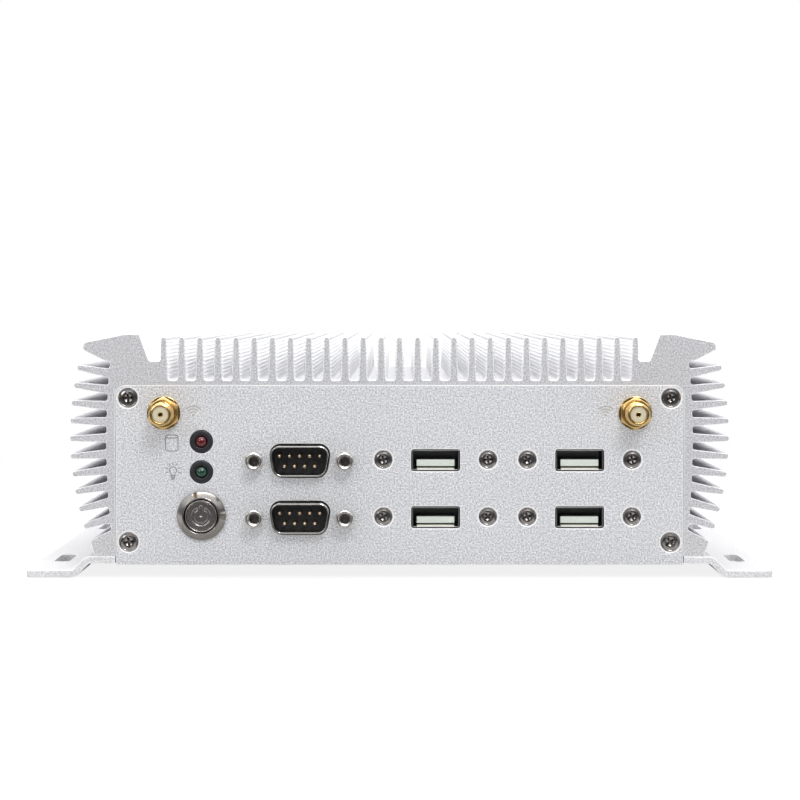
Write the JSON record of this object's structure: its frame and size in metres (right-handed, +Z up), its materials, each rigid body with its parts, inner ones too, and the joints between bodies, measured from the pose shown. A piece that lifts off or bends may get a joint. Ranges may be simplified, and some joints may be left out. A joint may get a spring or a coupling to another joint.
{
  "type": "fanless industrial computer",
  "caption": "Low finned aluminium box computer on slotted side brackets, with antenna jacks, status lamps, a push button, serial ports and USB sockets in its front panel.",
  "frame": {"origin": "on the supporting surface under the middle of the overall box", "axes": "+X to the right along the front panel, -Y out of the front panel, +Z up"},
  "size_m": [0.2068, 0.1654, 0.0673],
  "materials": {
    "anodised_housing": "sandblasted clear anodised extrusion",
    "anodised_panel": "sandblasted clear anodised plate",
    "plated_sheet": "silver anodised folded sheet",
    "screw_steel": "dark nickel plated",
    "gold_plate": "gold plated",
    "cream_insert": "cream PTFE",
    "black_plastic": "moulded black",
    "red_lens": "clear red epoxy",
    "green_lens": "clear green epoxy",
    "stainless": "turned stainless steel",
    "nickel_shell": "nickel plated",
    "white_insert": "moulded pale green white",
    "board_laminate": "green solder mask",
    "chip_black": "moulded",
    "heat_metal": "milled",
    "pad_rubber": "soft silicone pad"
  },
  "bodies": {
    "chassis": {"heatsink_housing": "anodised_housing", "front_panel": "anodised_panel", "rear_panel": "anodised_panel", "bottom_cover": "anodised_panel", "mounting_bracket_left": "plated_sheet", "mounting_bracket_right": "plated_sheet", "front_panel_screws": "screw_steel", "rear_panel_screws": "screw_steel", "bottom_cover_screws": "screw_steel", "bracket_screws": "screw_steel", "usb_panel_screws": "screw_steel", "antenna_jack_left": "gold_plate", "antenna_jack_right": "gold_plate", "antenna_insulator_left": "cream_insert", "antenna_insulator_right": "cream_insert", "antenna_contacts": "gold_plate", "antenna_washers": "gold_plate", "antenna_nuts": "gold_plate", "lamp_holder_drive": "black_plastic", "lamp_holder_power": "black_plastic", "lamp_drive": "red_lens", "lamp_power": "green_lens", "power_button_bezel": "stainless", "power_button_nut": "stainless", "power_button_contact_block": "black_plastic", "serial_shell_upper": "nickel_shell", "serial_shell_lower": "nickel_shell", "serial_insulator_upper": "black_plastic", "serial_insulator_lower": "black_plastic", "serial_pins_upper": "gold_plate", "serial_pins_lower": "gold_plate", "jackscrews": "nickel_shell", "usb_mounts": "black_plastic", "main_board": "board_laminate", "board_standoffs": "stainless", "board_screws": "screw_steel", "processor": "chip_black", "thermal_pad": "pad_rubber", "heat_block": "heat_metal", "memory_socket": "black_plastic", "memory_module": "board_laminate", "wireless_card": "board_laminate", "card_socket": "black_plastic", "storage_drive": "heat_metal", "drive_screws": "screw_steel", "lan_jacks": "nickel_shell", "video_socket": "nickel_shell", "rear_usb_ports": "nickel_shell", "display_shell": "nickel_shell", "display_insulator": "black_plastic", "supply_jack": "black_plastic", "usb_shell_1": "nickel_shell", "usb_insulator_1": "white_insert", "usb_shell_2": "nickel_shell", "usb_insulator_2": "white_insert", "usb_shell_3": "nickel_shell", "usb_insulator_3": "white_insert", "usb_shell_4": "nickel_shell", "usb_insulator_4": "white_insert"},
    "power_button": {"power_button_cap": "stainless"}
  },
  "joints": [
    {"name": "power_button_press", "type": "slide", "parent": "chassis", "child": "power_button", "axis": [0, 1, 0], "range_m": [0, 0.0015], "stiffness_N_per_m": 1500}
  ]
}
